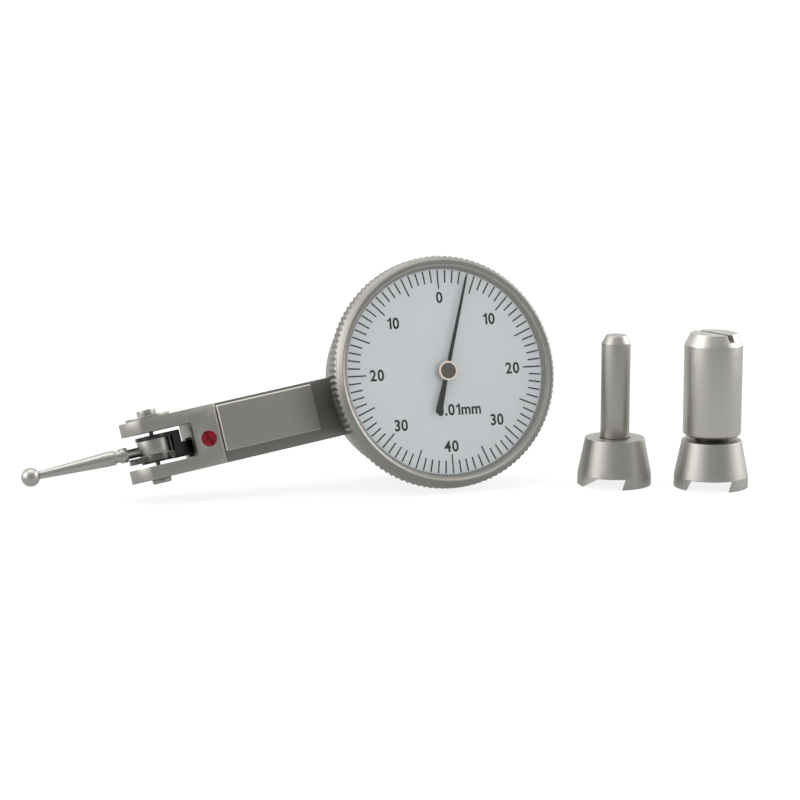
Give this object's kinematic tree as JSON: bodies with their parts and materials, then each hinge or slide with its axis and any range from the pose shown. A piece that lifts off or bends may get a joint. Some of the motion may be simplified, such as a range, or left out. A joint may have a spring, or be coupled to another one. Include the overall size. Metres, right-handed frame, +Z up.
{
  "type": "dial test indicator",
  "caption": "Lever-type dial test indicator with a swivelling ball stylus, a dovetailed arm and a turning knurled dial bezel, with its two clamping stems standing beside it.",
  "frame": {"origin": "on the floor, below the middle of the whole set's box", "axes": "+Z up, +X from the stylus towards the two stems, the dial facing -Y and leaning back"},
  "size_m": [0.0978, 0.0328, 0.0316],
  "materials": {
    "satin_chrome": "satin",
    "stem_steel": "ground",
    "stylus_steel": "polished",
    "blackened_steel": "blackened",
    "dial_paint": "matt",
    "crystal_clear": "polished",
    "ring_dark": "matt",
    "pointer_black": "satin",
    "brass": "turned",
    "gilt": "polished",
    "ruby": "polished",
    "spring_alloy": "polished",
    "red_lacquer": "gloss"
  },
  "bodies": {
    "frame": {"body_frame": "satin_chrome", "movement_plate": "brass", "movement_screws": "stem_steel", "arbor_bridge": "brass", "arbor_jewels": "ruby", "gear_pillars": "brass", "shaft_jewels": "ruby", "hairspring": "spring_alloy", "hairspring_stud": "brass", "bezel_snap_ring": "spring_alloy", "upper_pivot_screw": "stem_steel", "lower_pivot_screw": "stem_steel", "pivot_washer": "blackened_steel", "sealed_screw": "red_lacquer", "small_foot": "stem_steel", "large_foot": "stem_steel"},
    "dial": {"bezel": "satin_chrome", "crystal": "crystal_clear", "dial_ring": "ring_dark", "dial_plate": "dial_paint"},
    "pointer": {"pointer": "pointer_black", "pointer_hub": "gilt", "pointer_cap": "pointer_black", "pointer_arbor": "stem_steel", "hairspring_collet": "brass"},
    "crown": {"crown_wheel": "brass", "crown_shaft": "stem_steel"},
    "lever": {"lever": "blackened_steel", "pivot_axle": "stem_steel", "friction_disc": "blackened_steel", "sector_gear": "brass", "sector_screws": "stem_steel"},
    "stylus": {"swivel_drum": "blackened_steel", "stylus_shank": "stylus_steel", "stylus_ball": "stylus_steel"},
    "small_screw": {"small_stud": "stem_steel"},
    "small_pin": {"small_stem": "stem_steel"},
    "large_screw": {"large_stud": "stem_steel"},
    "large_barrel": {"large_stem": "stem_steel"}
  },
  "joints": [
    {"name": "bezel_turn", "type": "hinge", "parent": "frame", "child": "dial", "pos_m": [0.00901, 0.00097, 0.0159], "axis": [0, -0.9691, 0.2468], "continuous": true},
    {"name": "pointer_turn", "type": "hinge", "parent": "frame", "child": "pointer", "pos_m": [0.00901, 0.00059, 0.016], "axis": [0, -0.9691, 0.2468], "range_deg": [-200.5, 200.5]},
    {"name": "crown_turn", "type": "hinge", "parent": "frame", "child": "crown", "pos_m": [0.00901, 0.00737, 0.01427], "axis": [-0.159, 0.2437, 0.9567], "range_deg": [-22.32, 22.32]},
    {"name": "lever_turn", "type": "hinge", "parent": "frame", "child": "lever", "pos_m": [-0.03069, 0.00549, 0.0069], "axis": [-0.159, 0.2437, 0.9567], "range_deg": [-1.48, 1.48], "stiffness_Nm_per_rad": 0.18},
    {"name": "stylus_swivel", "type": "hinge", "parent": "lever", "child": "stylus", "pos_m": [-0.03069, 0.00549, 0.0069], "axis": [-0.159, 0.2437, 0.9567], "range_deg": [-110, 110]},
    {"name": "small_screw_feed", "type": "slide", "parent": "frame", "child": "small_screw", "axis": [0, 0, 1], "range_m": [-0.00025, 0.00025]},
    {"name": "small_stem_turn", "type": "hinge", "parent": "small_screw", "child": "small_pin", "pos_m": [0.03187, -0.00539, 0.0055], "axis": [0, 0, 1], "range_deg": [-180.5, 180.5]},
    {"name": "large_screw_feed", "type": "slide", "parent": "frame", "child": "large_screw", "axis": [0, 0, 1], "range_m": [-0.00025, 0.00025]},
    {"name": "large_stem_turn", "type": "hinge", "parent": "large_screw", "child": "large_barrel", "pos_m": [0.04381, -0.01127, 0.0071], "axis": [0, 0, 1], "range_deg": [-180.5, 180.5]}
  ],
  "couplings": [
    {"joint": "pointer_turn", "follows": "lever_turn", "ratio": -135},
    {"joint": "crown_turn", "follows": "lever_turn", "ratio": -15},
    {"joint": "small_stem_turn", "follows": "small_screw_feed", "rad_per_m": 12566},
    {"joint": "large_stem_turn", "follows": "large_screw_feed", "rad_per_m": 12566}
  ]
}
